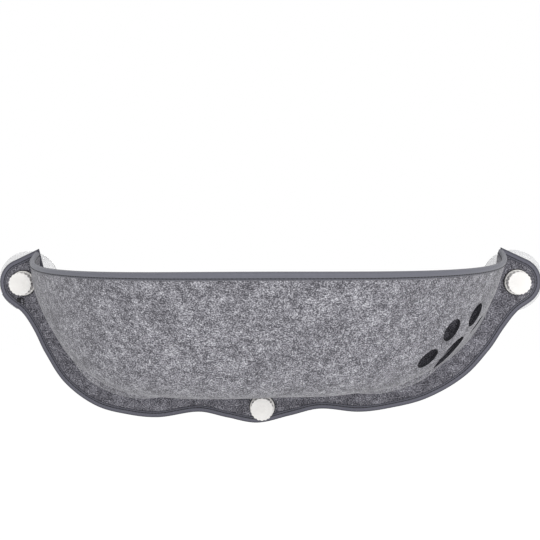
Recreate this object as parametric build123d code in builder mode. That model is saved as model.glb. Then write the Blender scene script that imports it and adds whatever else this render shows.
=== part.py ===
"""Window perch for a cat: a boat-shaped felt bowl sewn to a scalloped felt back panel.

Three suction cups with screw knobs clamp the back panel's ears and lower lobe to the glass.
Units are millimetres. The origin is on the glass, midway between the two upper cups and at
their height. +X is right and +Z is up as seen from the room, and +Y points into the glass.
"""
import os
from math import cos, radians, sin, tan

from build123d import *

os.makedirs("parts", exist_ok=True)

# Driving dimensions of the felt
cup_span = 620.0            # between the axes of the two upper cups
felt_thickness = 4.0
ear_radius = 30.0           # felt round each upper cup
ear_tip_height = 42.0       # where the rim meets the back panel
panel_drop = 178.5          # lowest felt below the upper cups
lobe_margin = 20.5          # felt below the bottom cup's axis
seam_clearance = 19.0       # from a cup's axis to the bowl's seam
scoop_drop = 60.0           # lowest point of the back panel's top edge

# The bowl
bowl_depth = 257.0          # rim in front of the back panel
rim_front_height = 29.5
rim_dip = 3.4               # the rim hangs this much between tip and front
seam_crest = 12.0           # the seam rises this much over the bottom cup
bowl_bulge = 56.0           # the panel's corner stands out from its chord
bulge_floor_share = 0.028   # of the chord, where the bowl is almost flat
corner_radius = 75.0
corner_end_share = 0.60     # place of the corner along the chord, at the tips
corner_front_share = 0.44   # and at the front
seam_power = 1.53           # how round the seam's ends are
crest_power = 12
bulge_power = 2.15
dip_power = 6
tip_power = 4
first_fan_angle = 2.0       # degrees round the rim from the ear tip
fan_sections = 17

# The felt hangs a little to the left and lower there, and the bowl leans further than its panel
hang_shift = 15.0
hang_share = 0.033
bowl_lean = 6.0
lean_power = 0.4
bottom_cup_shift = 3.5      # of the bottom cup, back to the right

# Binding tape
tape_thickness = 0.8
tape_width = 7.3            # on each face
tape_gap = 0.1
sewing_gap = 0.3            # between the bowl's edge and what it is sewn to
outline_steps = 44          # points that carry the tape's edges round the panel
tape_crossing_angle = 20.0  # up to here the seam runs over the edge tape
rim_tape_share = 0.8        # of the wall, where the wall is lower than the tape

# Outline of the back panel, right half, from the ear to the middle
ear_start_angle = 68.0
ear_end_angle = -38.0
scallop_shares = [
    (1.006, -0.207), (0.958, -0.325), (0.906, -0.487), (0.816, -0.691), (0.677, -0.851), (0.532, -0.919),
    (0.410, -0.941), (0.248, -0.910), (0.129, -0.955),
]
scoop_shares = [(0.978, 0.255), (0.928, 0.608), (0.704, 0.882), (0.378, 0.980)]

# Paw-print cut-outs in the right end of the bowl: angle round the rim,
# share of the way from the seam to the rim, and turn of the long side
toe_length = 28.0
toe_width = 22.0
pad_width = 50.0
pad_height = 35.0
toe_places_shares = [(127.6, 0.543, 38.0), (134.1, 0.650, 70.0), (143.8, 0.633, 70.0), (148.0, 0.430, 80.0)]
pad_place_shares = (135.8, 0.430, 42.0)
cut_reach = 18.0

# Suction cups
cup_diameter = 78.0
bottom_cup_diameter = 50.0
cup_height = 20.0           # glass to felt
cup_hollow = 5.0
lip_width = 4.0
lip_thickness = 2.6
skirt_rise = 12.0           # height where the skirt meets the neck
neck_radius = 8.5
head_radius = 12.0
head_thickness = 5.0
skirt_middle_share = 0.55
skirt_height_share = 0.80

# Screw hardware
stud_radius = 4.0
stud_head_radius = 6.5
stud_head_thickness = 2.0
thread_engagement = 11.0    # of the stud in the knob
stud_chamfer = 0.8
running_clearance = 0.05
hole_clearance = 0.5        # punched hole in the felt
washer_clearance = 0.3
washer_diameter = 33.0
washer_thickness = 2.0
flange_diameter = 31.0
flange_thickness = 3.0
knob_diameter = 29.0
knob_height = 15.0
knob_bore_depth = 12.5
flute_count = 18
flute_radius = 1.9
flute_depth = 0.9
knob_chamfer = 0.8
rib_height = 0.3
rib_width = 0.7
rib_inner_radius = 3.0
rib_outer_radius = 11.5

# Places that follow from the sizes above
cup_half_span = cup_span / 2
bowl_half_width = cup_half_span - seam_clearance
bottom_cup_drop = panel_drop - lobe_margin
seam_middle_drop = bottom_cup_drop - seam_clearance
felt_front = cup_height + felt_thickness


def hung(x, z):
    """Moves a point of the felt as the hanging bowl pulls it, most at the bottom."""
    sag = max(0.0, -z / panel_drop) ** 2
    return x - hang_shift * sag, z + hang_share * x * sag


def at_distance(distance):
    """Plane parallel to the glass, facing the room, this far from it."""
    return Plane.XZ.offset(distance)


bottom_x, bottom_z = hung(0.0, -bottom_cup_drop)
stations = {
    "left": (-cup_half_span, 0.0),
    "right": (cup_half_span, 0.0),
    "bottom": (bottom_x + bottom_cup_shift, bottom_z),
}


# Back panel
scallops = [(x * cup_half_span, z * panel_drop) for x, z in scallop_shares]
scallops = scallops + [(0.0, -panel_drop)] + [(-x, z) for x, z in reversed(scallops)]
scoop_height = ear_tip_height + scoop_drop
scoop = [(x * bowl_half_width, ear_tip_height - z * scoop_height) for x, z in scoop_shares]
scoop = [(-x, z) for x, z in scoop] + [(0.0, -scoop_drop)] + [(x, z) for x, z in reversed(scoop)]
ear_sweep = ear_start_angle - ear_end_angle
left_tip, right_tip = Vector(-bowl_half_width, ear_tip_height), Vector(bowl_half_width, ear_tip_height)


def ear(side, inset):
    """Round ear about a cup's axis, run clockwise; side is 1 on the right and -1 on the left."""
    start = ear_start_angle if side > 0 else 180 - ear_end_angle
    return CenterArc((side * cup_half_span, 0), ear_radius - inset, start, -ear_sweep)


def smooth(points, first, last):
    """Curve through points that crosses each one in the direction between its neighbours."""
    between = [(after - before).normalized() for before, after in zip(points, points[2:])]
    return Spline(*points, tangents=[first, *between, last])


right_ear, left_ear = ear(1, 0), ear(-1, 0)
lower_points = [right_ear @ 1, *[Vector(*hung(x, z)) for x, z in scallops], left_ear @ 0]
lower_edge = smooth(lower_points, right_ear % 1, left_ear % 0)
scoop_edge = Spline(left_tip, *scoop, right_tip)


def moved_in(edge, share, inset):
    """Point of an edge that runs clockwise, moved square to it into the felt."""
    tangent = edge % share
    return (edge @ share) + Vector(tangent.Y, -tangent.X) * inset


def moved_tip(tip, before, after, inset):
    """Sharp ear tip between two directions of travel, moved into the felt by both of them."""
    first, second = Vector(before.Y, -before.X), Vector(after.Y, -after.X)
    return tip + (first + second) * (inset / (1 + first.dot(second)))


def outline(inset=0.0):
    """Draws the back panel's outline, moved in by a margin or out by a negative one."""
    right, left = ear(1, inset), ear(-1, inset)
    left_corner = moved_tip(left_tip, (left_tip - left_ear @ 1).normalized(), scoop_edge % 0, inset)
    right_corner = moved_tip(right_tip, scoop_edge % 1, (right_ear @ 0 - right_tip).normalized(), inset)
    shares = [number / outline_steps for number in range(1, outline_steps)]
    Spline(
        right @ 1,
        *[moved_in(lower_edge, share, inset) for share in shares],
        left @ 0,
        tangents=[lower_edge % share for share in [0, *shares, 1]],
    )
    Line(left @ 1, left_corner)
    Spline(
        left_corner,
        *[moved_in(scoop_edge, share, inset) for share in shares],
        right_corner,
        tangents=[scoop_edge % share for share in [0, *shares, 1]],
    )
    Line(right_corner, right @ 0)


with BuildPart() as back_panel:
    with BuildSketch(at_distance(cup_height)):
        with BuildLine():
            outline()
        make_face()
        with Locations(*stations.values()):
            Circle(stud_radius + hole_clearance, mode=Mode.SUBTRACT)
    extrude(amount=felt_thickness)


# Tape folded round the back panel's edge
tape_reach = tape_gap + tape_thickness
with BuildPart() as edge_binding:
    with BuildSketch(at_distance(cup_height - tape_reach)):
        with BuildLine():
            outline(-tape_reach)
        make_face()
        with BuildLine():
            outline(tape_width)
        make_face(mode=Mode.SUBTRACT)
    extrude(amount=felt_thickness + 2 * tape_reach)
    with BuildSketch(at_distance(cup_height - tape_gap)):
        with BuildLine():
            outline(-tape_gap)
        make_face()
    extrude(amount=felt_thickness + 2 * tape_gap, mode=Mode.SUBTRACT)


def rim_point(angle):
    """Rim in plan half an ellipse: high at the ear tips, dipping, then level at the front."""
    turn = sin(radians(angle))
    height = (
        rim_front_height
        - rim_dip * (1 - turn**dip_power)
        + (ear_tip_height - rim_front_height + rim_dip) * (1 - turn) ** tip_power
    )
    return Vector(-bowl_half_width * cos(radians(angle)), -felt_front - bowl_depth * turn, height)


def lean(angle):
    """How far the bowl leans to the left here, beyond the hang of the back panel."""
    return bowl_lean * sin(radians(angle)) ** lean_power


def seam_point(angle):
    """Seam on the back panel: down from one ear tip, over the bottom cup, up to the other."""
    turn = sin(radians(angle))
    fall = ear_tip_height + seam_middle_drop + seam_crest
    height = ear_tip_height - fall * (1 - (1 - turn) ** seam_power) + seam_crest * turn**crest_power
    lift = sewing_gap
    if min(angle, 180 - angle) < tape_crossing_angle:
        lift = sewing_gap + tape_reach
    return Vector(-bowl_half_width * cos(radians(angle)) - lean(angle), -felt_front - lift, height)


def hung_point(point):
    x, z = hung(point.X, point.Z)
    return Vector(x, point.Y, z)


def corner_point(angle):
    """Where wall and floor of the bowl would meet without their rounding."""
    turn = sin(radians(angle))
    rim, seam = rim_point(angle), seam_point(angle)
    along = rim_point(angle + 1) - rim_point(angle - 1) + seam_point(angle + 1) - seam_point(angle - 1)
    chord = rim - seam
    outward = along.cross(chord).normalized()
    rise = turn**bulge_power
    bulge = bowl_bulge * rise * rise * (3 - 2 * rise) + bulge_floor_share * chord.length
    share = corner_end_share + (corner_front_share - corner_end_share) * turn**2
    return seam + chord * share + outward * bulge - Vector(lean(angle) * share)


def bowl_section(angle):
    """One fan section from seam to rim: its plane, chord, corner and the corner's rounding."""
    seam, rim = hung_point(seam_point(angle)), hung_point(rim_point(angle))
    corner = hung_point(corner_point(angle))
    chord = rim - seam
    plane = Plane(origin=seam, x_dir=chord, z_dir=chord.cross(corner - seam))
    local = plane.to_local_coords(corner)
    floor, wall = Vector(local.X, local.Y), Vector(chord.length - local.X, -local.Y)
    half_turn = radians(floor.get_angle(wall)) / 2
    radius = min(corner_radius, rim_tape_share * min(floor.length, wall.length) / tan(half_turn))
    return plane, Vector(chord.length, 0), Vector(local.X, local.Y), radius


def inward(direction):
    """Unit vector square to a line of the section, towards the inside of the bowl."""
    return Vector(direction.Y, -direction.X).normalized()


def bowl_point(angle, share):
    """Point of the bowl's outer face, at this share of the way from the seam to the rim."""
    plane, rim, corner, radius = bowl_section(angle)
    profile = FilletPolyline((0, 0), corner, rim, radius=radius)
    return plane.from_local_coords(profile @ share)


def cut_plane(angle, share):
    """Plane that touches the bowl's outer face there and looks out of it."""
    along = bowl_point(angle + 1, share) - bowl_point(angle - 1, share)
    upward = bowl_point(angle, share * 1.01) - bowl_point(angle, share * 0.99)
    return Plane(origin=bowl_point(angle, share), x_dir=along, z_dir=along.cross(upward))


fan_step = (180 - 2 * first_fan_angle) / (fan_sections - 1)
fan_angles = [first_fan_angle + fan_step * number for number in range(fan_sections)]

cuts = [(cut_plane(angle, share), toe_length, toe_width, turn) for angle, share, turn in toe_places_shares]
pad_angle, pad_share, pad_turn = pad_place_shares
cuts.append((cut_plane(pad_angle, pad_share), pad_width, pad_height, pad_turn))

# Front panel, the bowl itself
with BuildPart() as front_panel:
    for angle in fan_angles:
        plane, rim, corner, radius = bowl_section(angle)
        floor_in, wall_in = inward(corner) * felt_thickness, inward(rim - corner) * felt_thickness
        half_turn = radians(corner.get_angle(rim - corner)) / 2
        inner_corner = corner + (floor_in + wall_in) * (0.5 / cos(half_turn) ** 2)
        floor_3d = plane.from_local_coords(corner) - plane.origin
        inward_3d = plane.from_local_coords(floor_in) - plane.origin
        inner_seam = floor_in - corner * (inward_3d.Y / floor_3d.Y)
        with BuildSketch(plane):
            with BuildLine():
                FilletPolyline((0, 0), corner, rim, radius=radius)
                Line(rim, rim + wall_in)
                FilletPolyline(rim + wall_in, inner_corner, inner_seam, radius=radius - felt_thickness)
                Line(inner_seam, (0, 0))
            make_face()
    loft()
    for plane, length, width, turn in cuts:
        with BuildSketch(plane):
            Ellipse(length / 2, width / 2, rotation=turn)
        extrude(amount=cut_reach, both=True, mode=Mode.SUBTRACT)


# Tape folded over the rim
with BuildPart() as rim_binding:
    for angle in fan_angles:
        plane, rim, corner, radius = bowl_section(angle)
        wall = rim - corner
        upward, across = wall.normalized(), inward(wall)
        half_turn = radians(corner.get_angle(wall)) / 2
        straight_wall = wall.length - radius * tan(half_turn)
        low = upward * -min(tape_width, straight_wall)
        near, far = tape_gap, tape_gap + tape_thickness
        with BuildSketch(plane):
            with BuildLine():
                Polyline(
                    rim + low - across * near,
                    rim + low - across * far,
                    rim + upward * far - across * far,
                    rim + upward * far + across * (felt_thickness + far),
                    rim + low + across * (felt_thickness + far),
                    rim + low + across * (felt_thickness + near),
                    rim + upward * near + across * (felt_thickness + near),
                    rim + upward * near - across * near,
                    close=True,
                )
            make_face()
    loft()


def axis_plane(x, z):
    """Half section through a cup's axis: first coordinate out from it, second off the glass."""
    return Plane(origin=(x, 0, z), x_dir=(1, 0, 0), z_dir=(0, 0, -1))


def make_cup(x, z, diameter):
    """Clear suction cup: hollow skirt, neck, and a head that holds the stud."""
    lip = diameter / 2
    stud_top = cup_height - head_thickness
    with BuildPart() as cup:
        with BuildSketch(axis_plane(x, z)):
            with BuildLine():
                hollow = TangentArc((0, cup_hollow), (lip - lip_width, 0), tangent=(1, 0))
                Polyline(hollow @ 1, (lip, 0), (lip, lip_thickness))
                ThreePointArc(
                    (lip, lip_thickness),
                    (lip * skirt_middle_share, skirt_rise * skirt_height_share),
                    (neck_radius, skirt_rise),
                )
                Polyline(
                    (neck_radius, skirt_rise),
                    (neck_radius, stud_top),
                    (head_radius, stud_top),
                    (head_radius, cup_height),
                    (0, cup_height),
                    (0, cup_hollow),
                )
            make_face()
        revolve(axis=Axis((x, 0, z), (0, -1, 0)))
        with BuildSketch(at_distance(cup_height)):
            with Locations((x, z)):
                Circle(stud_radius)
        extrude(amount=-head_thickness, mode=Mode.SUBTRACT)
        with BuildSketch(at_distance(stud_top)):
            with Locations((x, z)):
                Circle(stud_head_radius)
        extrude(amount=-stud_head_thickness, mode=Mode.SUBTRACT)
    return cup.part


def make_stud(x, z):
    """Plastic stud: its head lies in the cup's neck and its shank takes the knob."""
    head_back = cup_height - head_thickness - stud_head_thickness
    with BuildPart() as stud:
        with BuildSketch(at_distance(head_back)):
            with Locations((x, z)):
                Circle(stud_head_radius)
        extrude(amount=stud_head_thickness)
        with BuildSketch(at_distance(head_back)):
            with Locations((x, z)):
                Circle(stud_radius)
        extrude(amount=felt_front + washer_thickness + thread_engagement - head_back)
        chamfer(stud.faces().sort_by(Axis.Y)[0].edges(), stud_chamfer)
    return stud.part


def make_washer(x, z, seat):
    """Black washer between felt and knob."""
    with BuildPart() as washer:
        with BuildSketch(at_distance(seat)):
            with Locations((x, z)):
                Circle(washer_diameter / 2)
                Circle(stud_radius + washer_clearance, mode=Mode.SUBTRACT)
        extrude(amount=washer_thickness)
    return washer.part


def make_knob(x, z, seat):
    """White screw knob: smooth flange, fluted grip, blind bore and a ribbed face."""
    grip_back, face = seat + flange_thickness, seat + knob_height
    with BuildPart() as knob:
        with BuildSketch(at_distance(seat)):
            with Locations((x, z)):
                Circle(flange_diameter / 2)
        extrude(amount=flange_thickness)
        with BuildSketch(at_distance(grip_back)):
            with Locations((x, z)):
                Circle(knob_diameter / 2)
        extrude(amount=face - grip_back)
        chamfer(knob.faces().sort_by(Axis.Y)[0].edges(), knob_chamfer)
        flute_ring = knob_diameter / 2 + flute_radius - flute_depth
        with BuildSketch(at_distance(grip_back)):
            with Locations((x, z)):
                with PolarLocations(flute_ring, flute_count):
                    Circle(flute_radius)
        extrude(amount=face - grip_back, mode=Mode.SUBTRACT)
        with BuildSketch(at_distance(seat)):
            with Locations((x, z)):
                Circle(stud_radius + running_clearance)
        extrude(amount=knob_bore_depth, mode=Mode.SUBTRACT)
        with BuildSketch(at_distance(face)):
            with Locations((x, z)):
                with PolarLocations((rib_inner_radius + rib_outer_radius) / 2, flute_count):
                    Rectangle(rib_outer_radius - rib_inner_radius, rib_width)
        extrude(amount=rib_height)
    return knob.part


pieces = {
    "back_panel": back_panel.part,
    "front_panel": front_panel.part,
    "edge_binding": edge_binding.part,
    "rim_binding": rim_binding.part,
}
for side, (x, z) in stations.items():
    low = side == "bottom"
    washer_seat = felt_front + (tape_reach if low else 0)
    pieces[f"{side}_cup"] = make_cup(x, z, bottom_cup_diameter if low else cup_diameter)
    pieces[f"{side}_stud"] = make_stud(x, z)
    pieces[f"{side}_washer"] = make_washer(x, z, washer_seat)
    pieces[f"{side}_knob"] = make_knob(x, z, washer_seat + washer_thickness)

for name, piece in pieces.items():
    piece.label = name
    export_step(piece, f"parts/{name}.step")
    print(name, round(piece.volume), piece.is_valid)
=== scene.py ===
# %% [markdown]
# A felt window perch, dressed piece by piece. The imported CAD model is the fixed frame: its knobs,
# studs, washers and cups are rigid, so they stay and only get better materials. The felt panels
# and the tapes are soft goods, so each one is made again here as a surface of its own.

import bpy
import numpy as np
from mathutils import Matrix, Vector


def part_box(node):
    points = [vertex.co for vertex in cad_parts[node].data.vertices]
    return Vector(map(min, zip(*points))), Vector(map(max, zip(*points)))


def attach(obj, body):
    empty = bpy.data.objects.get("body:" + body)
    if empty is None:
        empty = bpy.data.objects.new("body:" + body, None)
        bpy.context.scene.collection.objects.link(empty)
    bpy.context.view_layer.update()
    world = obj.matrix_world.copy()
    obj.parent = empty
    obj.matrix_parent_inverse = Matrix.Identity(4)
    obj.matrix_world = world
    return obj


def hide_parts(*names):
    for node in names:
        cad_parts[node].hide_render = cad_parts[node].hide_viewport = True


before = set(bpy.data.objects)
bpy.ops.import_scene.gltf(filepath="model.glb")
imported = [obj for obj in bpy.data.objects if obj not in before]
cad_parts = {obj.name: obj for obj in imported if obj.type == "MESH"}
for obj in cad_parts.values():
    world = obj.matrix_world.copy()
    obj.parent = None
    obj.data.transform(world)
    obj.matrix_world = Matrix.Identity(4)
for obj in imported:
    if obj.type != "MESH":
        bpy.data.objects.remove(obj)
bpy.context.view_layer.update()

# %% [markdown]
# Everything below is worked out in millimetres, as a maker's drawing is, and turned to metres
# only when a mesh is filled. The sizes that the CAD nodes already hold are read from their boxes:
# the cups' axes, the felt's two faces, and how far the tape stands off the felt.

# %% Sizes read from the frame
MM = 0.001


def box_mm(node):
    low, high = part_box(node)
    return np.array(low) / MM, np.array(high) / MM


def axis_xz(node):
    low, high = box_mm(node)
    return (low[0] + high[0]) / 2, (low[2] + high[2]) / 2


panel_low, panel_high = box_mm("back_panel")
felt_back, felt_front = -panel_high[1], -panel_low[1]
felt_thickness = felt_front - felt_back
cup_half_span = axis_xz("right_stud")[0]
tape_reach = -box_mm("edge_binding")[0][1] - felt_front
stations = {side: axis_xz(side + "_stud") for side in ("left", "right", "bottom")}
print("felt", round(felt_thickness, 2), "mm thick, cups at", stations)

# %% [markdown]
# The felt's own driving sizes are the same as in the CAD model. The bowl hangs a little to the
# left and lower there, as loaded felt does, and one function applies that lean to every point.

# %% Sizes of the felt
ear_radius = 30.0
ear_start, ear_end = 68.0, -38.0     # degrees round the cup's axis, on the right ear
ear_tip = (291.0, 42.0)
panel_drop = 178.5
scoop_drop = 60.0
bowl_depth = 257.0
rim_front_height, rim_dip = 29.5, 3.4
seam_middle_drop, seam_crest = 139.0, 12.0
bowl_bulge, bulge_floor_share = 56.0, 0.028
bowl_lean, lean_power = 6.0, 0.4
corner_radius = 75.0
corner_end_share, corner_front_share = 0.60, 0.44
seam_power, crest_power, bulge_power, dip_power, tip_power = 1.53, 12, 2.15, 6, 4
sewing_gap = 0.3
tape_crossing, crossing_fade = 20.0, 6.0     # degrees from a tip to where the seam climbs on the tape
tape_gap, tape_thickness, tape_width = 0.1, 0.8, 7.3
hang_shift, hang_tilt = 15.0, 0.033  # at the lowest point: mm to the left, and mm down for each mm


def hang(x, z):
    """Leans a point to the left by the square of its share of the drop, and tilts it as much."""
    sag = np.clip(-z / panel_drop, 0, None) ** 2
    return x - hang_shift * sag, z + hang_tilt * x * sag


print("panel", ear_tip[1] + panel_drop, "mm high, bowl", bowl_depth, "mm deep")

# %% [markdown]
# A surface on a grid is the one building block here. Rows run one way, columns the other, and
# the faces join neighbours, so two index arrays make all the quads at once. Closing a direction
# only means that its last row's neighbour is the first.

# %% Meshes from grids of points
def grid_quads(rows, columns, close_rows=False, close_columns=False):
    """Corner numbers of every quad of a grid, counter-clockwise for rows to the right."""
    r = np.arange(rows if close_rows else rows - 1)[:, None]
    c = np.arange(columns if close_columns else columns - 1)[None, :]
    r2, c2 = (r + 1) % rows, (c + 1) % columns
    quads = np.stack([r * columns + c, r2 * columns + c, r2 * columns + c2, r * columns + c2], -1)
    return quads.reshape(-1, 4)


def mesh_piece(name, points, faces, body, uv=None):
    """A piece from points in mm and quads or triangles; uv holds one pair of mm for each point."""
    mesh = bpy.data.meshes.new(name)
    points = np.asarray(points, float).reshape(-1, 3)
    mesh.from_pydata(points * MM, [], faces if isinstance(faces, list) else faces.tolist())
    mesh.shade_smooth()
    if uv is not None:
        corner_points = np.zeros(len(mesh.loops), np.int32)
        mesh.loops.foreach_get("vertex_index", corner_points)
        layer = mesh.uv_layers.new(name="cloth")
        layer.data.foreach_set("uv", (np.asarray(uv, float).reshape(-1, 2)[corner_points] * MM).ravel())
    piece = bpy.data.objects.new(name, mesh)
    bpy.context.scene.collection.objects.link(piece)
    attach(piece, body)
    print(name, len(points), "points", len(faces), "faces")
    return piece


def unit(vectors):
    return vectors / np.linalg.norm(vectors, axis=-1, keepdims=True)


# %% [markdown]
# The bowl is a fan of sections, as on the real cut pattern: each one starts at the seam on the
# back panel, runs out along the floor, turns round a soft corner and climbs to the rim. Rim and
# seam are both functions of one angle, from the left ear tip at 0 to the right one at 180.

# %% Rim, seam and corner of the bowl
def rim_line(angle):
    """Half an ellipse in plan. Its height dips between the level front and the raised tips."""
    turn = np.sin(np.radians(angle))
    height = rim_front_height - rim_dip * (1 - turn**dip_power)
    height = height + (ear_tip[1] - rim_front_height + rim_dip) * (1 - turn) ** tip_power
    x = -ear_tip[0] * np.cos(np.radians(angle))
    return np.stack([x, -felt_front - bowl_depth * turn, height], -1)


def lean(angle):
    """How far the bowl leans to the left beyond the panel: a root of the sine of the angle."""
    return bowl_lean * np.sin(np.radians(angle)) ** lean_power


def seam_line(angle):
    """A rounded drop from one tip to the other, with a low crest over the bottom cup."""
    turn = np.sin(np.radians(angle))
    fall = ear_tip[1] + seam_middle_drop + seam_crest
    height = ear_tip[1] - fall * (1 - (1 - turn) ** seam_power) + seam_crest * turn**crest_power
    from_tip = np.minimum(angle, 180 - angle)
    crossing = np.clip((tape_crossing + crossing_fade / 2 - from_tip) / crossing_fade, 0, 1)
    lift = sewing_gap + tape_reach * crossing
    x = -ear_tip[0] * np.cos(np.radians(angle)) - lean(angle)
    return np.stack([x, -felt_front - lift, height], -1)


def corner_line(angle):
    """Seam, plus a share of the chord to the rim, plus a bulge square to chord and fan."""
    turn = np.sin(np.radians(angle))[:, None]
    along = rim_line(angle + 1) - rim_line(angle - 1) + seam_line(angle + 1) - seam_line(angle - 1)
    seam, chord = seam_line(angle), rim_line(angle) - seam_line(angle)
    rise = turn**bulge_power
    bulge = bowl_bulge * rise * rise * (3 - 2 * rise)
    bulge = bulge + bulge_floor_share * np.linalg.norm(chord, axis=-1, keepdims=True)
    share = corner_end_share + (corner_front_share - corner_end_share) * turn**2
    leaning = np.array([1.0, 0, 0]) * lean(angle)[:, None] * share
    return seam + chord * share + unit(np.cross(along, chord)) * bulge - leaning


def hung_points(points):
    x, z = hang(points[..., 0], points[..., 2])
    return np.stack([x, points[..., 1], z], -1)


print("front of the rim at", hung_points(rim_line(np.array([90.0])))[0].round(1), "mm")

# %% [markdown]
# A section is a straight floor, an arc and a straight wall. Felt doesn't change its bend that
# sharply, so the section is sampled evenly and then blurred along its length, which rounds the
# places where line and arc meet. The ends are mirrored through their points first, so they stay.

# %% Sections of the bowl
radius_share, soft_run = 0.8, 12.0   # most of a run that the arc may take, and the blur in mm


def section_frames(angle):
    """Origin at the seam, first axis along the chord, second axis towards the corner."""
    seam, rim, corner = (hung_points(line(angle)) for line in (seam_line, rim_line, corner_line))
    length = np.linalg.norm(rim - seam, axis=-1)
    across = unit(rim - seam)
    reach = corner - seam
    along_chord = (reach * across).sum(-1)
    outward = unit(reach - across * along_chord[:, None])
    return seam, across, outward, length, along_chord, (reach * outward).sum(-1)


def section_profile(length, corner_u, corner_v, shares):
    """Line, arc, line in the section's plane: the point and direction at each share of the run."""
    floor, wall = np.hypot(corner_u, corner_v), np.hypot(length - corner_u, corner_v)
    first, last = np.arctan2(corner_v, corner_u), np.arctan2(-corner_v, length - corner_u)
    turn = first - last
    radius = np.minimum(corner_radius, radius_share * np.minimum(floor, wall) / np.tan(turn / 2))
    trim = radius * np.tan(turn / 2)
    run = floor + wall - 2 * trim + radius * turn
    s = shares[None, :] * run[:, None]
    floor_run, arc_run = (floor - trim)[:, None], (radius * turn)[:, None]
    bend = np.clip((s - floor_run) / radius[:, None], 0, turn[:, None])
    heading = first[:, None] - bend
    on_floor = np.minimum(s, floor_run)
    on_wall = np.clip(s - floor_run - arc_run, 0, None)
    u = on_floor * np.cos(first)[:, None] + on_wall * np.cos(last)[:, None]
    v = on_floor * np.sin(first)[:, None] + on_wall * np.sin(last)[:, None]
    u = u + radius[:, None] * (np.sin(first)[:, None] - np.sin(heading))
    v = v + radius[:, None] * (np.cos(heading) - np.cos(first)[:, None])
    return u, v, heading, run


def blurred(values, spread):
    """Gaussian blur along the last axis, with both ends mirrored through their end points."""
    reach = int(3 * spread) + 1
    weights = np.exp(-0.5 * (np.arange(-reach, reach + 1) / spread) ** 2)
    weights = weights / weights.sum()
    before = 2 * values[:, :1] - values[:, reach:0:-1]
    after = 2 * values[:, -1:] - values[:, -2:-reach - 2:-1]
    padded = np.concatenate([before, values, after], 1)
    windows = np.lib.stride_tricks.sliding_window_view(padded, 2 * reach + 1, axis=1)
    return windows @ weights


def bowl_face(angle, shares, depth=0.0, soften=True):
    """Points of the bowl this deep under its outer face, for each angle and share of the run."""
    seam, across, outward, length, corner_u, corner_v = section_frames(angle)
    u, v, heading, run = section_profile(length, corner_u, corner_v, shares)
    if soften:
        spread = soft_run / (run.mean() / len(shares))
        u, v = blurred(u, spread), blurred(v, spread)
        heading = np.arctan2(np.gradient(v, axis=1), np.gradient(u, axis=1))
    u, v = u + np.sin(heading) * depth, v - np.cos(heading) * depth
    return seam[:, None] + across[:, None] * u[..., None] + outward[:, None] * v[..., None]


def steps_along(points):
    """Distances between neighbours along the last axis but one."""
    return np.linalg.norm(np.diff(points, axis=-2), axis=-1)


middle = bowl_face(np.array([90.0]), np.linspace(0, 1, 121))[0]
print("middle section", round(steps_along(middle).sum()), "mm from seam to rim")

# %% [markdown]
# Cut felt is never quite even. A slow ripple of under a millimetre runs over the whole bowl, and
# beside the seam, left and right of the middle, the cloth has more length than it needs: there a
# crescent-shaped fold stands up, with a valley behind it and a swollen corner above. Simulated
# cloth would put folds where it likes, so these are bells at the places that the picture shows.

# %% Ripple and slack folds
fan = np.linspace(2, 178, 353)
shares = np.linspace(0, 1, 121)
slack_folds = [(52.0, 13.0, 8.5), (127.0, 11.0, 7.5)]    # angle round the bowl, reach, height in mm
fold_share, fold_spread = 0.11, 0.055
valley_share, valley_depth = 0.22, 0.35
knee_share, knee_spread, knee_height = 0.38, 0.1, 0.55
ripple_height, seam_fade = 0.35, 0.05


def ripple(angle, shares):
    """Three crossed waves of different length, faded out at seam and rim, in mm."""
    a, s = np.radians(angle)[:, None], shares[None, :]
    waves = np.sin(7 * a + 5 * s) + 0.7 * np.sin(13 * a - 9 * s + 1) + 0.5 * np.sin(23 * a + 14 * s + 2)
    return ripple_height * waves * np.sin(np.pi * s) * np.sin(a)


def slack(angle, shares):
    """Folds of loose felt beside the seam: bells of a ridge, of a valley and of a swollen corner."""
    a, s = angle[:, None], shares[None, :]
    ridge = np.exp(-((s - fold_share) / fold_spread) ** 2)
    valley = valley_depth * np.exp(-((s - valley_share) / fold_spread) ** 2)
    knee = knee_height * np.exp(-((s - knee_share) / knee_spread) ** 2)
    window = sum(height * np.exp(-((a - centre) / reach) ** 4) for centre, reach, height in slack_folds)
    return (valley - ridge - knee) * window * np.clip(s / seam_fade, 0, 1)


hollow = ripple(fan, shares) + slack(fan, shares)
print("felt stands", round(-hollow.min(), 1), "mm proud at most and", round(hollow.max(), 1), "mm in")

# %% [markdown]
# The felt is a closed shell: one loop of points goes up the outer face and down the inner one,
# and the fan carries that loop from tip to tip. The shell's two end faces join outer points to
# the inner ones beside them. The inner face lies square under the outer one, along the normal
# that the grid's two directions give, so the wall is as thick at the narrow tips as in front.

# %% The bowl's felt shell
outer = bowl_face(fan, shares, depth=hollow)
outward = unit(np.cross(np.gradient(outer, axis=0), np.gradient(outer, axis=1)))
inner = outer - outward * felt_thickness
inner[:, 0, 1] = outer[:, 0, 1]      # both faces end equally far off the back panel
loop = np.concatenate([outer, inner[:, ::-1]], 1)
quads = grid_quads(len(fan), loop.shape[1], close_columns=True)
pairs = np.arange(len(shares) - 1)
start_cap = np.stack([pairs, pairs + 1, loop.shape[1] - 2 - pairs, loop.shape[1] - 1 - pairs], -1)
end_cap = (start_cap + (len(fan) - 1) * loop.shape[1])[:, ::-1]
faces = np.concatenate([quads, start_cap, end_cap])
bowl_felt = mesh_piece("bowl_felt", loop, faces, "perch")

# %% [markdown]
# The paw print in the right end is die-cut: one large pad and four toes, each an ellipse pushed
# straight through the felt. A cutter is an elliptical prism that stands on the bowl's tangent
# plane. A boolean cuts it out exactly, which a grid of quads could only do in steps. Shell and
# cutters are closed, so the solver for closed meshes does it, and it is the quickest as well.

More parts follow.
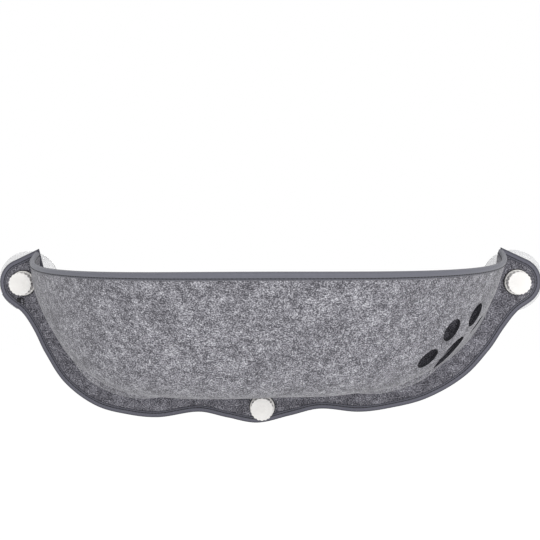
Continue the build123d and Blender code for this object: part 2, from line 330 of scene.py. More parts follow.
# %% Die-cut the paw print
paw_cuts = {                          # angle round the rim, share of the run, turn, length, width
    "toe_1": (127.6, 0.538, 38.0, 29.0, 24.5),
    "toe_2": (134.1, 0.648, 70.0, 29.0, 25.5),
    "toe_3": (143.6, 0.638, 70.0, 30.0, 26.0),
    "toe_4": (147.6, 0.445, 80.0, 28.0, 24.0),
    "pad": (135.2, 0.445, 42.0, 50.0, 37.0),
}
cut_reach, cut_rows, sharp_angle = 18.0, 200, 50.0


def prism(centre, x_axis, y_axis, length, width, reach, sides=64):
    """Ellipse by cosine and sine in the plane of two axes, swept both ways along their normal."""
    round_it = np.linspace(0, 2 * np.pi, sides, endpoint=False)[:, None]
    ring = x_axis * np.cos(round_it) * length / 2 + y_axis * np.sin(round_it) * width / 2
    normal = np.cross(x_axis, y_axis)
    points = np.concatenate([centre + ring - normal * reach, centre + ring + normal * reach])
    faces = [[*range(sides)][::-1], [*range(sides, 2 * sides)]]
    return points, faces + grid_quads(2, sides, close_columns=True)[:, ::-1].tolist()


def cut_out(piece, prisms):
    """Cuts prisms, given as points in mm and faces, out of a piece and applies the result."""
    meshes = []
    for points, faces in prisms:
        start = sum(len(m[0]) for m in meshes)
        meshes.append((points, [[start + i for i in face] for face in faces]))
    mesh = bpy.data.meshes.new("cutter")
    mesh.from_pydata(np.concatenate([m[0] for m in meshes]) * MM, [], sum((m[1] for m in meshes), []))
    for target in (piece.data, piece.data, mesh, mesh):
        target.materials.append(None)     # one slot for the felt's faces and one for the cut walls
    mesh.polygons.foreach_set("material_index", np.ones(len(mesh.polygons), np.int32))
    cutter = bpy.data.objects.new("cutter", mesh)
    bpy.context.scene.collection.objects.link(cutter)
    modifier = piece.modifiers.new("cut", "BOOLEAN")
    modifier.operation, modifier.solver, modifier.object = "DIFFERENCE", "MANIFOLD", cutter
    evaluated = piece.evaluated_get(bpy.context.evaluated_depsgraph_get())
    result = bpy.data.meshes.new_from_object(evaluated)
    piece.modifiers.clear()
    bpy.data.objects.remove(cutter)
    piece.data = result
    result.set_sharp_from_angle(angle=np.radians(sharp_angle))
    print(piece.name, "cut,", len(result.polygons), "faces left")


prisms = []
for cut_angle, cut_share, cut_turn, cut_length, cut_width in paw_cuts.values():
    beside = np.array([cut_angle - 1, cut_angle, cut_angle + 1])
    near = bowl_face(beside, np.linspace(0, 1, cut_rows + 1), soften=False)
    row = int(round(cut_share * cut_rows))
    along = unit(near[2, row] - near[0, row])
    normal = unit(np.cross(along, near[1, row + 2] - near[1, row - 2]))
    upward, turned = np.cross(normal, along), np.radians(cut_turn)
    x_axis = along * np.cos(turned) + upward * np.sin(turned)
    y_axis = np.cross(normal, x_axis)
    prisms.append(prism(near[1, row], x_axis, y_axis, cut_length, cut_width, cut_reach))
cut_out(bowl_felt, prisms)
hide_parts("front_panel")

# %% [markdown]
# The back panel is flat felt with a scalloped outline. Ears are arcs about the cups' axes, and
# between them the edge is a smooth curve through a few chosen places. Each stretch of the curve
# is a cubic that leaves and meets its places in the direction between their neighbours.

# %% Outline of the back panel
scallop_shares = np.array([
    (1.006, -0.207), (0.958, -0.325), (0.906, -0.487), (0.816, -0.691), (0.677, -0.851),
    (0.532, -0.919), (0.410, -0.941), (0.248, -0.910), (0.129, -0.955),
])
scoop_shares = np.array([(0.978, 0.255), (0.928, 0.608), (0.704, 0.882), (0.378, 0.980)])


def arc(side, start, end, radius, steps=48):
    """Cosine and sine about a cup's axis, from one angle to the other."""
    angle = np.radians(np.linspace(start, end, steps))
    return np.stack([side * cup_half_span + radius * np.cos(angle), radius * np.sin(angle)], -1)


def through(places, directions, steps=16):
    """Cubic stretches between places, as long in their directions as the places are apart."""
    t = np.linspace(0, 1, steps, endpoint=False)[None, :, None]
    a, b = places[:-1, None], places[1:, None]
    apart = np.linalg.norm(b - a, axis=-1, keepdims=True)
    da, db = directions[:-1, None] * apart, directions[1:, None] * apart
    ends = a * (1 + 2 * t) * (1 - t) ** 2 + b * t * t * (3 - 2 * t)
    slopes = da * t * (1 - t) ** 2 - db * t * t * (1 - t)
    return np.concatenate([(ends + slopes).reshape(-1, 2), places[-1:]])


def between_neighbours(places, first, last):
    """Directions at places: given at both ends, and else from neighbour to neighbour."""
    middle = unit(places[2:] - places[:-2])
    return np.concatenate([[first], middle, [last]])


def travelled(points):
    """Distance travelled at each point of an open run."""
    return np.concatenate([[0], np.cumsum(steps_along(points))])


def resampled(points, run, at):
    """Points at other distances along a run, each coordinate by straight interpolation."""
    return np.stack([np.interp(at, run, points[:, k]) for k in range(points.shape[1])], -1)


def even(points, count):
    """Points at even distances along a run of points."""
    run = travelled(points)
    return resampled(points, run, np.linspace(0, run[-1], count))


half = scallop_shares * [cup_half_span, panel_drop]
places = np.concatenate([half, [[0, -panel_drop]], half[::-1] * [-1, 1]])
places = np.stack(hang(places[:, 0], places[:, 1]), -1)
right_end = arc(1, ear_end, ear_end, ear_radius, 1)
left_end = arc(-1, 180 - ear_end, 0, ear_radius, 1)
places = np.concatenate([right_end, places, left_end])
sine, cosine = np.sin(np.radians(ear_end)), np.cos(np.radians(ear_end))
directions = between_neighbours(places, [sine, -cosine], [sine, cosine])
edge_points = 480
lower_edge = even(through(places, directions), edge_points)

scoop_height = ear_tip[1] - scoop_shares[:, 1] * (ear_tip[1] + scoop_drop)
scoop_half = np.stack([scoop_shares[:, 0] * ear_tip[0], scoop_height], -1)
tips = np.array([[-ear_tip[0], ear_tip[1]], [ear_tip[0], ear_tip[1]]])
scoop_places = np.concatenate([
    tips[:1], scoop_half * [-1, 1], [[0, -scoop_drop]], scoop_half[::-1], tips[1:],
])
print("lower edge from", lower_edge[0].round(1), "to", lower_edge[-1].round(1))

# %% [markdown]
# The tape, the panel and their stitches all need the same outline, but further in or out. The
# curve is moved square to itself. At the two sharp ear tips the moved edges would cross, so each
# one starts later, by the inset over the tangent of half the tip's angle, as in a mitred frame.

# %% The outline at any inset
def square_in(points):
    """Unit vectors to the right of the direction of travel, which is into the felt."""
    direction = unit(np.gradient(points, axis=0))
    return np.stack([direction[:, 1], -direction[:, 0]], -1)


scoop_first = unit(scoop_places[1] - scoop_places[0])
directions = between_neighbours(scoop_places, scoop_first, scoop_first * [1, -1])
scoop_edge = even(through(scoop_places, directions), edge_points)
tip_line = unit(tips[0] - arc(-1, 180 - ear_start, 0, ear_radius, 1)[0])
half_tip = np.arccos(-np.dot(tip_line, scoop_first)) / 2
print("ear tip is", round(np.degrees(2 * half_tip)), "degrees sharp")


def trimmed(points, inset):
    """Moves an edge in, then keeps what lies between its mitred ends, or runs on to reach them."""
    moved = points + square_in(points) * inset
    run = travelled(points)
    trim = inset / np.tan(half_tip)
    at = np.linspace(trim, run[-1] - trim, len(points))
    inside = resampled(moved, run, at)
    slope = (moved[1] - moved[0], moved[-1] - moved[-2])
    step = run[1]
    before, after = (at < 0)[:, None], (at > run[-1])[:, None]
    inside = np.where(before, moved[0] + slope[0] * (at[:, None] / step), inside)
    return np.where(after, moved[-1] + slope[1] * ((at[:, None] - run[-1]) / step), inside)


def outline(inset):
    """The closed outline, clockwise from the right ear's top, moved in by so many mm."""
    radius = ear_radius - inset
    right = arc(1, ear_start, ear_end, radius)
    lower = lower_edge + square_in(lower_edge) * inset
    left = arc(-1, 180 - ear_end, 180 - ear_start, radius)
    scoop = trimmed(scoop_edge, inset)
    t = np.linspace(0, 1, 24)[1:-1, None]
    return np.concatenate([
        right, lower[1:-1], left,
        left[-1] * (1 - t) + scoop[0] * t, scoop, scoop[-1] * (1 - t) + right[0] * t,
    ])


def closed(points):
    return np.concatenate([points, points[:1]])


edge_run = travelled(closed(outline(0)))
edge_run, edge_length = edge_run[:-1], edge_run[-1]
print("outline", len(edge_run), "points,", round(edge_length), "mm round")

# %% [markdown]
# The panel itself is a plain slab of felt: two faces with the same outline and a cut edge that
# is a little pressed in at its corners, where the tape grips it. The three punched holes for
# the studs come out with the same cutter as the paw print.

# %% The back panel's felt
def ring_at(inset, distance):
    """The outline at an inset, this far from the glass, as points in space."""
    return np.insert(outline(inset), 1, -distance, axis=1)


pressed, corner_share = 1.2, 0.3     # mm, and the share of it that the rounded corner still has
corner = pressed * corner_share
edge_rows = [(pressed, 0), (corner, corner), (0, pressed)]
panel_rows = [ring_at(inset, felt_back + depth) for inset, depth in edge_rows]
panel_rows += [ring_at(inset, felt_front - depth) for inset, depth in edge_rows[::-1]]
count = len(panel_rows[0])
faces = grid_quads(len(panel_rows), count, close_columns=True).tolist()
last = (len(panel_rows) - 1) * count
faces += [[*range(count)], [*range(last, last + count)][::-1]]
back_felt = mesh_piece("back_felt", np.concatenate(panel_rows), faces, "perch")
hole_diameter = 9.0
middle_distance = (felt_front + felt_back) / 2
x_axis, z_axis = np.array([1.0, 0, 0]), np.array([0, 0, 1.0])
hole = x_axis, z_axis, hole_diameter, hole_diameter, felt_thickness
cut_out(back_felt, [prism(np.array([x, -middle_distance, z]), *hole) for x, z in stations.values()])
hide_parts("back_panel")

# %% [markdown]
# Binding tape is a flat ribbon folded over a felt edge and stitched through all the layers. Its
# section is a U: two straight legs and a rounded fold. The legs sink a little along the stitch
# row, more where the needle went in, and that pull is what tells tape from a plastic edge.

# %% Section of a folded tape
stitch_pitch, stitch_length = 4.2, 3.1
stitch_thickness = 1.25              # twice the real thread, which would be too fine to show
stitch_row = 4.9                     # from the felt's edge, so 2.4 mm inside the tape's hem
fold_depth = 1.6                     # from the felt's edge to where the legs start
pressed_hem = 0.9                    # share of its stand-off that the ironed hem keeps
groove_width, groove_depth, needle_depth = 0.8, 0.3, 0.15


def tape_section(steps=10, fold_steps=18, squareness=2.5):
    """Outer face then inner face of the U, each as (inset, side, stand-off from the felt)."""
    half = felt_thickness / 2
    leg = np.linspace(tape_width, fold_depth, steps)
    phi = np.linspace(0, np.pi, fold_steps)[1:-1]

    def face(stand):
        reach, height = fold_depth + stand, half + stand
        across = np.sign(np.cos(phi)) * np.abs(np.cos(phi)) ** (2 / squareness) * height
        inset = fold_depth - np.sin(phi) ** (2 / squareness) * reach
        front = np.stack([leg, np.full(steps, height)], -1)
        back = np.stack([leg[::-1], np.full(steps, -height)], -1)
        return np.concatenate([front, np.stack([inset, across], -1), back])

    outer, inner = face(tape_gap + tape_thickness), face(tape_gap)
    outer[[0, -1], 1] *= pressed_hem
    return np.concatenate([outer, inner[::-1]])


section = tape_section()
outer_count = len(section) // 2
across_run = travelled(section[:outer_count])
strip = across_run[-1]
position = np.concatenate([across_run, across_run[::-1]])
print("tape section", len(section), "points,", round(strip, 1), "mm wide when flat")


def on_fold(inset):
    return inset < fold_depth - 1e-6


def pull(inset, along):
    """How far the stitches pull the tape in: a groove along the row, deepest at each needle hole."""
    groove = np.exp(-((inset - stitch_row) / groove_width) ** 2)
    return groove * (groove_depth + needle_depth * np.cos(2 * np.pi * along / stitch_pitch))


def tape_uv(run):
    """Millimetres along and across the flat tape, for every point of a section swept along a run."""
    return np.stack(np.broadcast_arrays(run[None, :], position[:, None]), -1)


def open_tape_faces(rows, columns):
    """Faces of a section swept along an open run, with a cap on each end."""
    ends = np.arange(rows) * columns
    sides = grid_quads(rows, columns, close_rows=True)[:, ::-1].tolist()
    return sides + [ends[::-1].tolist(), (ends + columns - 1).tolist()]


# %% [markdown]
# Round the back panel the section's inset is the outline's own inset, and its other coordinate
# is the distance from the glass. So each point of the section becomes one whole closed outline.

# %% Tape round the back panel
rows = []
for number, (inset, height) in enumerate(section):
    sunk = pull(inset, edge_run) if number < outer_count else 0
    height = np.broadcast_to(height - np.sign(height) * sunk, edge_run.shape)
    rows.append(np.insert(outline(inset), 1, -(middle_distance + height), axis=1))
faces = grid_quads(len(rows), len(edge_run), close_rows=True, close_columns=True)[:, ::-1]
edge_tape = mesh_piece("edge_tape", rows, faces, "perch", tape_uv(edge_run))
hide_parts("edge_binding")

# %% [markdown]
# Over the bowl's rim the legs must follow the shell that was just made, ripple and all. The
# distance down from the rim picks a place between the shell's own rows, on its outer face for
# one leg and its inner face for the other, and the fold bridges the two over the top.

# %% Tape over the rim
wall_run = steps_along(outer).sum(1)
tape_leg = np.minimum(tape_width, wall_run / 2)      # no more than half the wall, low at the tips


def down_the_wall(face, distance):
    """Points of a face of the shell this far below the rim, one for each section of the fan."""
    at = (1 - distance / wall_run) * (len(shares) - 1)
    row = np.clip(at.astype(int), 0, len(shares) - 2)
    part = (at - row)[:, None]
    each = np.arange(len(fan))
    return face[each, row] * (1 - part) + face[each, row + 1] * part


rim_run = travelled(outer[:, -1])
upward = unit(outer[:, -1] - outer[:, -3])
through_wall = unit(inner[:, -1] - outer[:, -1])
rim_middle = (outer[:, -1] + inner[:, -1]) / 2
rows = []
for number, (inset, height) in enumerate(section):
    if on_fold(inset):
        rows.append(rim_middle - through_wall * height - upward * inset)
        continue
    sunk = pull(inset, rim_run)[:, None] if number < outer_count else 0
    stand = abs(height) - felt_thickness / 2 - sunk
    depth = inset / tape_width * tape_leg
    face_out, face_in = down_the_wall(outer, depth), down_the_wall(inner, depth)
    across = unit(face_in - face_out)
    rows.append(face_out - across * stand if height > 0 else face_in + across * stand)
faces = open_tape_faces(len(rows), len(fan))
rim_tape = mesh_piece("rim_tape", rows, faces, "perch", tape_uv(rim_run))
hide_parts("rim_binding")

# %% [markdown]
# Lockstitch thread shows as short dashes that dive into the cloth at both ends. One stitch is a
# small tube of six sides, thick in its middle, and a whole row is that tube copied to every
# place along a run, turned to the run there, by one multiplication of arrays.

# %% Stitch rows
stitch_rings, stitch_sides, stitch_end = 7, 6, 0.98      # the end rings lie just short of a point
thread_sink, seam_stand = 0.25, 0.1                      # mm into the tape, and off the felt's back
look_ahead = 0.5                                         # mm along the run, which gives its direction
facing_room = np.array([0, -1.0, 0])


def stitch_points(path, outward, pitch=stitch_pitch, length=stitch_length, thickness=stitch_thickness):
    """Tubes along a run: full in the middle, rounded by the fourth power, ends dipped by the square."""
    run = travelled(path)
    centres = np.arange(pitch / 2, run[-1] - pitch / 2, pitch)
    place = resampled(path, run, centres)
    along = unit(resampled(path, run, centres + look_ahead) - place)
    up = unit(resampled(outward, run, centres))
    side = np.cross(along, up)
    u = np.linspace(-stitch_end, stitch_end, stitch_rings)[:, None]
    v = np.linspace(0, 2 * np.pi, stitch_sides, endpoint=False)[None, :]
    radius = thickness / 2 * np.sqrt(1 - u**4)
    dip = thickness / 2 * u**2
    tube = [u * length / 2 + 0 * v, radius * np.cos(v), radius * np.sin(v) - dip]
    tube = [part.reshape(1, -1, 1) for part in tube]
    return place[:, None] + along[:, None] * tube[0] + side[:, None] * tube[1] + up[:, None] * tube[2]


def stitch_piece(name, runs):
    """One piece from rows of stitches, each a path, its outward directions and its own sizes."""
    points = np.concatenate([stitch_points(path, outward, *sizes) for path, outward, *sizes in runs])
    near_end = np.array([[0, 1, 2, 3], [0, 3, 4, 5]])
    far_end = near_end[:, ::-1] + (stitch_rings - 1) * stitch_sides
    sides = grid_quads(stitch_rings, stitch_sides, close_columns=True)[:, ::-1]
    starts = np.arange(len(points)) * stitch_rings * stitch_sides
    faces = np.concatenate([sides, near_end, far_end])[None] + starts[:, None, None]
    print(name, len(points), "stitches")
    return mesh_piece(name, points, faces.reshape(-1, 4), "perch")


def facing(path, direction=facing_room):
    """A run of points with one outward direction for all of it."""
    return path, np.broadcast_to(direction, path.shape)


surface = tape_gap + tape_thickness - thread_sink
edge_runs = []
for sign in (1, -1):
    distance = middle_distance + sign * (felt_thickness / 2 + surface)
    edge_runs.append(facing(closed(ring_at(stitch_row, distance)), facing_room * sign))
edge_stitches = stitch_piece("edge_stitches", edge_runs)
row_depth = stitch_row / tape_width * tape_leg
face_out, face_in = down_the_wall(outer, row_depth), down_the_wall(inner, row_depth)
across = unit(face_in - face_out)
rim_stitches = stitch_piece("rim_stitches", [
    (face_out - across * surface, -across), (face_in + across * surface, across),
])
seam_fan = np.linspace(6, 174, 300)                      # the row stops short of the tips
seam_path = hung_points(seam_line(seam_fan)) * [1, 0, 1] + [0, -felt_back + seam_stand, 0]
seam_stitches = stitch_piece("seam_stitches", [facing(seam_path, -facing_room)])

# %% [markdown]
# The edge tape's two ends meet below the left ear. The last stretch laps over the first one with
# its end turned under, and a bar tack, a few long stitches side by side, holds the lap. One loose
# loop of the same thread was left there.

# %% Lap, bar tack and loop of thread at the left ear
lap_places = np.array([(-317.0, -29.5), (-337.5, -13.0)])      # x and z of the tack and the turned end
inner_share = 0.9                                              # so the lap bites into the tape below
tack_place, tack_steps = (-316.5, -22.0), (-1.6, 0.0, 1.6)     # x and z, then along x from there
tack_length, tack_room, tack_thickness, tack_height = 6.5, 0.5, 2.0, 2.0
loop_corners = np.array([(-316.0, -19.0), (-308.5, -17.4), (-311.0, -27.0)])
loop_pitch, loop_length, loop_thickness, loop_height = 1.0, 2.2, 1.3, 0.8

from_place = np.linalg.norm(outline(0)[None] - lap_places[:, None], axis=-1)
lap_first, lap_last = from_place.argmin(1)
rows = []
for number, (inset, height) in enumerate(section):
    raised = abs(height) + tape_thickness * (1.0 if number < outer_count else inner_share)
    ring = outline(inset - tape_thickness * on_fold(inset))[lap_first:lap_last]
    rows.append(np.insert(ring, 1, -(middle_distance + np.sign(height) * raised), axis=1))
faces = open_tape_faces(len(rows), len(rows[0]))
lap_uv = tape_uv(edge_run[lap_first:lap_last])
tape_lap = mesh_piece("tape_lap", rows, faces, "perch", lap_uv)


def in_front(x, z, height):
    """Points this far off the felt's front, from their x and z."""
    return np.stack([x, np.full(len(x), -felt_front - height), z], -1)


tack_ends = tack_place[1] + (tack_length + tack_room) / 2 * np.array([1, -1])
tack_runs = [in_front(np.full(2, tack_place[0] + step), tack_ends, tack_height) for step in tack_steps]
t = np.linspace(0, 1, 24)[:, None]
start, middle, end = loop_corners
loop_curve = start * (1 - t) ** 2 + middle * 2 * t * (1 - t) + end * t**2
loop_run = in_front(*loop_curve.T, loop_height)
bar_tack = stitch_piece("bar_tack", [
    *((*facing(run), tack_length, tack_length, tack_thickness) for run in tack_runs),
    (*facing(loop_run), loop_pitch, loop_length, loop_thickness),
])

# %% [markdown]


# %% [markdown]
# A material is a small graph. One function turns a designer's sRGB hex colour into the linear
# values that light needs, and one adds a node with its settings and links. A few short ones on
# top of it make a sum, a noise, a ramp and bumps, and all the materials below are made with them.

# %% Colour and node helpers
def linear(hex_colour):
    """sRGB hex to linear RGBA: a short straight foot, then a power of 2.4."""
    value = np.array([int(hex_colour[k:k + 2], 16) for k in (1, 3, 5)]) / 255
    foot = value / 12.92
    return (*np.where(value <= 0.04045, foot, ((value + 0.055) / 1.055) ** 2.4), 1.0)


def add(tree, kind, links=None, **settings):
    """Adds a node. Settings name its properties or its inputs, and links feed its inputs."""
    node = tree.nodes.new(kind)
    for name, value in settings.items():
        if name in node.bl_rna.properties:
            setattr(node, name, value)
        else:
            node.inputs[name.replace("_", " ")].default_value = value
    for name, source in (links or {}).items():
        tree.links.new(source, node.inputs[name])
    return node


def maths(tree, operation, *values):
    """A sum with sockets or plain numbers, in the order that the operation takes them."""
    node = add(tree, "ShaderNodeMath", operation=operation)
    for number, value in enumerate(values):
        if isinstance(value, bpy.types.NodeSocket):
            tree.links.new(value, node.inputs[number])
        else:
            node.inputs[number].default_value = value
    return node.outputs[0]


def noise(tree, place, size_mm, **settings):
    """Noise with a grain of this many millimetres."""
    node = add(tree, "ShaderNodeTexNoise", {"Vector": place}, Scale=1 / (size_mm * MM), **settings)
    return node.outputs["Fac"]


def press(tree, shader, source, strength, height_mm):
    """Bumps the shader's surface by a source, this high between its 0 and its 1."""
    bump = add(tree, "ShaderNodeBump", {"Height": source}, Strength=strength, Distance=height_mm * MM)
    tree.links.new(bump.outputs["Normal"], shader.inputs["Normal"])


def new_material(name):
    """An empty material with its output and one shader, ready for links."""
    material = bpy.data.materials.new(name)
    material.use_nodes = True
    tree = material.node_tree
    tree.nodes.clear()
    shader = add(tree, "ShaderNodeBsdfPrincipled")
    add(tree, "ShaderNodeOutputMaterial", links={"Surface": shader.outputs["BSDF"]})
    return material, tree, shader


def ramp(tree, source, stops):
    """Colours by value: each stop is a position and a hex colour."""
    node = add(tree, "ShaderNodeValToRGB", links={"Fac": source})
    while len(node.color_ramp.elements) < len(stops):
        node.color_ramp.elements.new(0.5)
    for element, (position, colour) in zip(node.color_ramp.elements, stops):
        element.position, element.color = position, linear(colour)
    return node.outputs["Color"]


def dress(piece, material):
    piece.data.materials.clear()
    piece.data.materials.append(material)


print("sRGB #808080 is", round(float(linear("#808080")[0]), 3), "in linear light")

# %% [markdown]
# The felt is needle-punched polyester: pale and dark fibres are blended, laid down in a web and
# tangled by barbed needles. It shows as salt and pepper of about a millimetre, gathered in soft
# clouds of a centimetre, with stray pale hairs that catch light along every edge.

# %% Felt
felt_grains = {                       # size in mm, weight in the blend, and the noise's settings
    "specks": (1.5, 0.9, {"Detail": 1.0, "Roughness": 0.6}),
    "fibres": (2.8, 0.2, {
        "noise_type": "RIDGED_MULTIFRACTAL", "Detail": 2.0, "Roughness": 0.5, "Distortion": 1.6,
    }),
    "tufts": (7.0, 0.35, {"Detail": 2.0, "Roughness": 0.6}),
    "clouds": (24.0, 0.22, {"Detail": 2.0, "Roughness": 0.6}),
}


def felt_material(name, dark, middle, light, sheen):
    """The grains' weighted sum, centred so that noises of 0.5 give 0.5, as colour and as bumps."""
    material, tree, shader = new_material(name)
    place = add(tree, "ShaderNodeTexCoord").outputs["Object"]
    blend = 0.5 - sum(weight for _, weight, _ in felt_grains.values()) / 2
    for size_mm, weight, settings in felt_grains.values():
        blend = maths(tree, "MULTIPLY_ADD", noise(tree, place, size_mm, **settings), weight, blend)
    colour = ramp(tree, blend, [(0.3, dark), (0.5, middle), (0.7, light)])
    tree.links.new(colour, shader.inputs["Base Color"])
    press(tree, shader, blend, strength=0.6, height_mm=0.8)
    shader.inputs["Roughness"].default_value = 0.95
    shader.inputs["Specular IOR Level"].default_value = 0.2
    shader.inputs["Sheen Weight"].default_value = sheen
    shader.inputs["Sheen Roughness"].default_value = 0.5
    return material


grey_felt = felt_material("needle felt, grey blend", "#4e4d53", "#9a99a0", "#e0e0e5", 0.2)
# the back panel's felt is a darker copy of the grey felt: painted shade over the whole panel, which lies
# back behind the bowl
shaded_felt = felt_material("needle felt, grey blend in painted shade", "#3b3a40", "#807f87", "#bfbec5", 0.2)
# the cut walls of the paw print and the stud holes get a near-black copy of the felt: painted shade inside
# the holes
shaded_cut_felt = felt_material("needle felt, die-cut wall in painted shade", "#141417", "#2c2c31", "#4c4c52", 0.0)
for piece, felt in ((bowl_felt, grey_felt), (back_felt, shaded_felt)):
    piece.data.materials[0], piece.data.materials[1] = felt, shaded_cut_felt
    print(piece.name, "cut walls:", sum(face.material_index for face in piece.data.polygons), "faces")

# %% [markdown]
# Both tapes are woven polyester with fine cross ribs, one for each pick of the weft. Painted shade
# darkens them along the stitch row and at the hem's edge, and on the charcoal tape over the fold,
# placed by the distance from the middle. The thread is a matt polyester twist, the same in every row.

# %% Tape and thread
rib_mm, hem_mm = 1.1, 0.9
band_scale = 0.31                    # of a wave texture that has one band in each metre


def tape_material(name, base, light, line, fold):
    """Cross-ribbed tape with painted shade in its hem, along its stitch row and over its fold."""
    material, tree, shader = new_material(name)
    place = add(tree, "ShaderNodeTexCoord").outputs["UV"]
    ribs = add(
        tree, "ShaderNodeTexWave", {"Vector": place}, bands_direction="X",
        Scale=band_scale / (rib_mm * MM), Distortion=0.6, Detail=2.0,
    ).outputs["Fac"]
    cloth = ramp(tree, ribs, [(0.0, base), (1.0, light)])
    across = add(tree, "ShaderNodeSeparateXYZ", {"Vector": place}).outputs["Y"]
    centred = maths(tree, "SUBTRACT", across, strip / 2 * MM)
    share = maths(tree, "DIVIDE", maths(tree, "ABSOLUTE", centred), strip / 2 * MM)
    row, hem = 1 - 2 * (tape_width - stitch_row) / strip, 1 - 2 * hem_mm / strip
    # painted shade: the colour is multiplied darker over the fold, in the stitch row's groove and at the
    # hem's edge
    painted_shade = ramp(tree, share, [
        (0.0, fold), (0.3, fold), (0.46, "#ffffff"),
        (row - 0.12, "#ffffff"), (row - 0.04, line), (row + 0.03, line), (row + 0.09, "#f4f4f4"),
        (hem, "#e8e8e8"), (1.0, line),
    ])
    mix = {"data_type": "RGBA", "blend_type": "MULTIPLY", "Factor": 1.0}
    colour = add(tree, "ShaderNodeMix", {6: cloth, 7: painted_shade}, **mix).outputs[2]
    tree.links.new(colour, shader.inputs["Base Color"])
    press(tree, shader, ribs, strength=0.35, height_mm=0.2)
    shader.inputs["Roughness"].default_value = 0.75
    shader.inputs["Sheen Weight"].default_value = 0.25
    return material


# rim tape: #7a7a80 is painted shade along its stitch row and hem, and its fold gets none
dress(rim_tape, tape_material("polyester grosgrain, grey", "#5b5c66", "#72737d", "#7a7a80", "#ffffff"))
# edge tape: #8a8a90 is painted shade along its stitch row and hem, and #b0b0b6 is painted shade over its
# fold
charcoal_tape = tape_material("polyester grosgrain, charcoal", "#555560", "#6b6b76", "#8a8a90", "#b0b0b6")
for piece in (edge_tape, tape_lap):
    dress(piece, charcoal_tape)
dark_thread, tree, shader = new_material("polyester thread, charcoal")
shader.inputs["Base Color"].default_value = linear("#131317")
shader.inputs["Roughness"].default_value = 0.6
for piece in (edge_stitches, rim_stitches, seam_stitches, bar_tack):
    dress(piece, dark_thread)
print("tapes have a rib every", rib_mm, "mm")

# %% [markdown]
# The knobs and studs are injection-moulded polypropylene, satin from the mould's fine spark-eroded
# grain. The washers are die-cut EVA foam, matt with closed pores. The cups are moulded soft vinyl,
# clear but never quite flat, so a slow waviness bends what is seen through them.

# %% Plastics and rubber
def moulded(name, colours, roughness, grain_mm, grain_height_mm, cloud_mm=14.0):
    """A plastic whose colour drifts between two shades, with a fine grain pressed into its skin."""
    material, tree, shader = new_material(name)
    place = add(tree, "ShaderNodeTexCoord").outputs["Object"]
    cloud = noise(tree, place, cloud_mm, Detail=2.0)
    colour = ramp(tree, cloud, [(0.35, colours[0]), (0.65, colours[1])])
    tree.links.new(colour, shader.inputs["Base Color"])
    press(tree, shader, noise(tree, place, grain_mm, Detail=2.0), 0.5, grain_height_mm)
    shader.inputs["Roughness"].default_value = roughness
    return material, shader


white_plastic, shader = moulded(
    "injection-moulded polypropylene, white", ("#efedea", "#f4f2ef"),
    roughness=0.38, grain_mm=0.6, grain_height_mm=0.03,
)
black_rubber, shader = moulded(
    "EVA washer, black", ("#18181a", "#202022"), roughness=0.7, grain_mm=0.8, grain_height_mm=0.1,
)
clear_vinyl, shader = moulded(
    "clear soft vinyl", ("#ebebec", "#f1f1f2"), roughness=0.2, grain_mm=9.0, grain_height_mm=0.3,
)
shader.inputs["IOR"].default_value = 1.53
shader.inputs["Transmission Weight"].default_value = 0.8
finishes = {"cup": clear_vinyl, "stud": white_plastic, "washer": black_rubber, "knob": white_plastic}
for side in stations:
    for ending, material in finishes.items():
        dress(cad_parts[f"{side}_{ending}"], material)
print("dressed", 3 * len(finishes), "rigid nodes")

# %% [markdown]
# The photograph was taken from about 1.14 m in front of the glass, 95 mm above the cups' axes and
# 33 mm to the right, with a lens of 59 mm. The camera points so that the object sits where it
# does in that picture, with no shift.

# %% Camera
camera_place = np.array([33.2, -1136.9, 94.7])
focal_length, yaw, pitch, roll = 59.2, 1.575, -4.058, 0.257     # mm on a 36 mm sensor, then degrees
camera = bpy.data.objects.new("camera", bpy.data.cameras.new("camera"))
bpy.context.scene.collection.objects.link(camera)
camera.location = camera_place * MM
camera.rotation_euler = np.radians([90 + pitch, roll, yaw])
camera.data.lens, camera.data.sensor_width = focal_length, 36.0
bpy.context.scene.camera = camera
print("camera is", round(np.linalg.norm(camera_place)), "mm from the part's origin")

# %% [markdown]
# The picture has a white ground with no horizon. World and floor are therefore white for rays
# that come from the camera, a mirror or glass, and dimmer for the rays that carry light, so that
# the ground doesn't light the felt from below. Two wide lamps do the rest, far behind the camera,
# one above it and one below.

# %% Light and floor
ambient_strength, backlight_strength = 0.6, 0.44
floor_half, floor_height = 4.0, -0.75                # metres


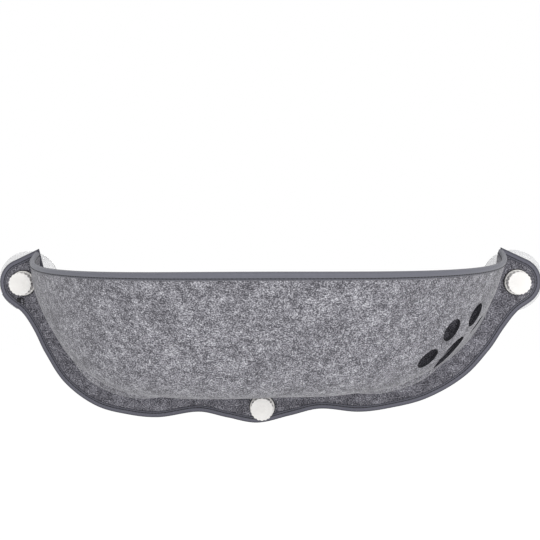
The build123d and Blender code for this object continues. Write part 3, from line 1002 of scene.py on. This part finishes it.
def seen_directly(tree):
    """1 for rays from the camera, a mirror or glass, and 0 for those that carry light."""
    rays = add(tree, "ShaderNodeLightPath").outputs
    seen = rays["Is Camera Ray"]
    for kind in ("Glossy", "Transmission"):
        seen = maths(tree, "MAXIMUM", seen, rays[f"Is {kind} Ray"])
    return seen


world = bpy.data.worlds.new("studio")
bpy.context.scene.world = world
world.use_nodes = True
tree = world.node_tree
tree.nodes.clear()
ambient = add(tree, "ShaderNodeBackground", Color=(1, 1, 1, 1), Strength=ambient_strength)
seen = add(tree, "ShaderNodeBackground", Color=(1, 1, 1, 1), Strength=1.0)
mix = add(tree, "ShaderNodeMixShader", {0: seen_directly(tree), 1: ambient.outputs[0], 2: seen.outputs[0]})
add(tree, "ShaderNodeOutputWorld", {"Surface": mix.outputs[0]})


def area_light(name, place, target, size, power):
    """A square lamp, in metres and watts, turned so that its own -Z points at the target."""
    data = bpy.data.lights.new(name, "AREA")
    data.energy, data.size = power, size
    lamp = bpy.data.objects.new(name, data)
    bpy.context.scene.collection.objects.link(lamp)
    lamp.location = place
    lamp.rotation_euler = (Vector(target) - Vector(place)).to_track_quat("-Z", "Y").to_euler()


area_light("key", (0.9, -2.9, 1.2), (0, -0.1, 0), size=2.0, power=30)
area_light("fill", (0.2, -2.7, -0.8), (0, -0.1, -0.1), size=2.0, power=40)
bpy.context.scene.view_settings.view_transform = "Standard"

floor = bpy.data.objects.new("floor", bpy.data.meshes.new("floor"))
corners = [(-1, -1), (1, -1), (1, 1), (-1, 1)]
corners = [(x * floor_half, y * floor_half, floor_height) for x, y in corners]
floor.data.from_pydata(corners, [], [(0, 1, 2, 3)])
bpy.context.scene.collection.objects.link(floor)
floor_paint, tree, shader = new_material("matt white paint")
shader.inputs["Base Color"].default_value = linear("#f8f8f8")
shader.inputs["Roughness"].default_value = 0.9
shader.inputs["Specular IOR Level"].default_value = 0.0
backlight = maths(tree, "MULTIPLY", seen_directly(tree), backlight_strength)
shader.inputs["Emission Color"].default_value = (1, 1, 1, 1)
tree.links.new(backlight, shader.inputs["Emission Strength"])
dress(floor, floor_paint)
print("floor", 2 * floor_half, "m wide, top at", floor_height, "m")
